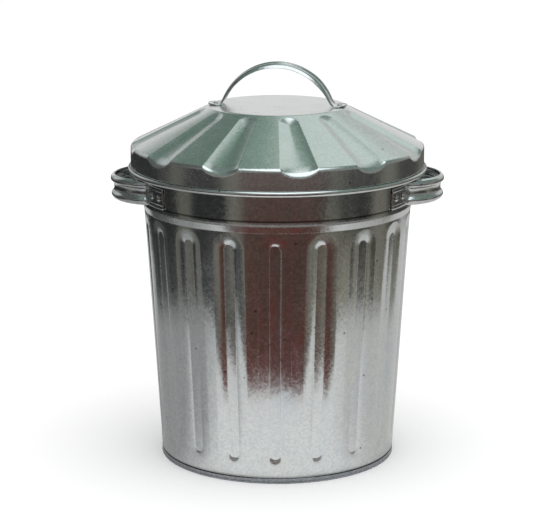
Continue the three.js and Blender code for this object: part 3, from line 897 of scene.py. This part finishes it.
def unlit_room_colour(s, reach, turn):
    """The room beyond the paper: dark, red-brown in front, with upright pale and dark things in it."""
    side = s.ramp(turn, -1.1, 1.1)
    near = s.mix(side, grey(0.085), grey(0.24, (1.05, 1, 0.8)))
    far = s.mix(side, grey(0.022, (0.95, 1, 1.05)), grey(0.055, (1, 1, 0.92)))
    room = s.mix(s.ramp(reach, 0.72, 1.05), near, far)
    brown = s.mix(s.ramp(reach, 0.34, 0.62), (0.145, 0.056, 0.047, 1), (0.08, 0.053, 0.042, 1))
    brown = s.mix(s.ramp(reach, 0.95, 1.3), brown, grey(0.1, (1.1, 1, 0.94)))
    brown = s.mix(s.ramp(s.noise(11, 2), 0.52, 0.6, 0, 0.6), brown, (0.19, 0.03, 0.028, 1))
    room = s.mix(s.ramp(s.math("ABSOLUTE", turn), 0.42, 0.78, 1, 0), room, brown)
    room = banded(s, room, turn, (reach, 0.45, 0.6), PALE_BANDS, grey(0.23, (1, 0.97, 0.82)))
    room = banded(s, room, turn, (reach, 0.5, 0.64), DARK_BANDS, grey(0.03, (0.95, 1, 1)))
    return s.mix(s.ramp(s.noise(7, 3), 0.45, 0.7, 0, 0.45), room, grey(0.03, (1, 0.9, 0.85)))


def paper_edge(s, reach, turn):
    """0 on the paper and 1 beyond it. The edge is near and sharp in front, soft and further off behind."""
    away = s.math("ABSOLUTE", turn)
    behind = s.math("MAXIMUM", s.ramp(turn, 1.8, 2.3, 0, 0.5), s.ramp(turn, -2.6, -2.2, 0.5, 0))
    edge = s.math("ADD", s.ramp(away, 0.4, 0.95, 0.33, 0.5), behind)
    width = s.ramp(away, 0.45, 1.3, 0.015, 0.17)
    return s.ramp(s.math("DIVIDE", s.math("SUBTRACT", reach, edge), width), 0, 1)


def ground_reflection():
    """A glowing disc, seen only in reflections, with what the metal reflects below the horizon.

    reach is the distance from the bin's axis. turn is the angle from the front, in radians.
    """
    ground = flat_disc("room_floor", 11, 0.0004)
    s = Material("room_floor")
    x = s.axis("X")
    y = s.axis("Y")
    reach = s.hypotenuse(x, y)
    turn = s.math("ARCTAN2", x, s.math("MULTIPLY", y, -1))
    paper = paper_colour(s, reach, turn)
    room = unlit_room_colour(s, reach, turn)
    colour = s.mix(paper_edge(s, reach, turn), paper, room)
    glow = s.node("Emission", {"Color": colour, "Strength": 1.0}).outputs["Emission"]
    s.tree.links.new(glow, s.tree.nodes["Material Output"].inputs["Surface"])
    ground.data.materials.append(s.material)
    ground.visible_camera = False
    ground.visible_diffuse = False
    ground.visible_shadow = False
    ground.visible_transmission = False


# Direction, inner and outer angle in degrees, and colour.
ROOM_LOBES = (
    ((-0.9, 0.05, 0.4), 22, 38, grey(0.1, (0.94, 1, 1))),  # shade at the left
    ((0, 1, 0.08), 18, 33, grey(0.83)),  # a pale wall behind
    ((-0.62, 0.68, 0.4), 9, 20, grey(0.6, (0.93, 1, 0.99))),
    ((0.55, 0.8, 0.33), 10, 24, grey(0.62, (0.97, 1, 0.98))),
    ((-0.3, 0.52, 0.79), 6, 15, (0.13, 0.2, 0.165, 1)),  # a grey-green ceiling
    ((-0.07, 0.43, 0.9), 4, 11, (0.22, 0.345, 0.285, 1)),
    ((0.3, 0.56, 0.77), 15, 20, grey(0.8, (0.88, 1, 0.96))),
    ((0.08, 0.15, 0.98), 7, 15, grey(0.7, (0.88, 1, 0.96))),
    ((0.08, -0.5, 0.86), 24, 31, grey(1.6, (0.93, 1, 1.03))),  # a high window in front
)


def lobe(s, way, inner, outer):
    """1 within the inner angle of a direction and 0 beyond the outer one, in degrees."""
    inputs = {0: s.place, 1: Vector(way).normalized()}
    dot = s.node("VectorMath", inputs, operation="DOT_PRODUCT").outputs["Value"]
    return s.ramp(dot, math.cos(math.radians(outer)), math.cos(math.radians(inner)))


def room_light():
    """A plain white world that lights the bin. The metal reflects a made-up room instead."""
    world = bpy.data.worlds.new("room")
    bpy.context.scene.world = world
    world.use_nodes = True
    s = Nodes(world.node_tree, "Generated")
    room = s.mix(s.ramp(s.axis("Z"), 0.1, 0.55), grey(0.26, (1, 0.97, 0.93)), (0.17, 0.235, 0.21, 1))
    for way, inner, outer, colour in ROOM_LOBES:
        room = s.mix(lobe(s, way, inner, outer), room, colour)
    reflected = s.node("LightPath", {}).outputs["Is Glossy Ray"]
    background = s.tree.nodes["Background"]
    s.tree.links.new(s.mix(reflected, grey(1.1), room), background.inputs["Color"])
    background.inputs["Strength"].default_value = 1


def softbox(name, at, target, size, power):
    """A round lamp that lights the bin and isn't seen in it."""
    light = bpy.data.lights.new(name, "AREA")
    light.shape = "DISK"
    light.size = size
    light.energy = power
    made = bpy.data.objects.new(name, light)
    made.location = at
    made.rotation_euler = (Vector(target) - Vector(at)).to_track_quat("-Z", "Y").to_euler()
    made.visible_glossy = False
    made.visible_camera = False
    bpy.context.scene.collection.objects.link(made)


def camera():
    data = bpy.data.cameras.new("camera")
    data.sensor_width = SENSOR_WIDTH
    data.lens = LENS
    data.clip_start = 0.1
    data.clip_end = 100
    made = bpy.data.objects.new("camera", data)
    made.location = CAMERA_PLACE
    made.rotation_euler = (math.radians(CAMERA_PITCH), 0, 0)
    bpy.context.scene.collection.objects.link(made)
    bpy.context.scene.camera = made


# ---- Assembly ----


def dress_bin():
    sheet = barrel_metal()
    strap = strap_metal()
    rivet = rivet_metal()
    wire = wire_metal()
    piece("barrel", "bin", sheet, barrel_shape())
    piece("rim_wire", "bin", wire, wire_shape(RIM_WIRE_RADIUS, RIM_WIRE_HEIGHT))
    piece("bottom_disc", "bin", floor_pan_metal(), floor_pan_shape())
    piece("foot_ring", "bin", foot_ring_metal(), foot_ring_shape())
    for side in ("right", "left"):
        piece(f"side_handle_{side}", "bin", strap, side_handle_shape(side))
    for name, matrix in side_rivets():
        piece(name, "bin", rivet, rivet_shape(ROUND_HEAD, matrix), sharp=60)
    piece("lid", "lid", lid_metal(), lid_shape())
    piece("lid_edge_wire", "lid", wire, wire_shape(LID_WIRE_RADIUS, LID_WIRE_HEIGHT))
    piece("lid_handle", "lid", strap, lid_handle_shape())
    for name, matrix in lid_rivets():
        piece(name, "lid", rivet, rivet_shape(LOW_HEAD, matrix), sharp=60)


dress_bin()
camera()
pale_floor()
ground_reflection()
room_light()
softbox("overhead", (0.3, -0.6, 2.4), (0, 0, 0.15), 2.6, 16)
bpy.context.scene.view_settings.view_transform = "Standard"
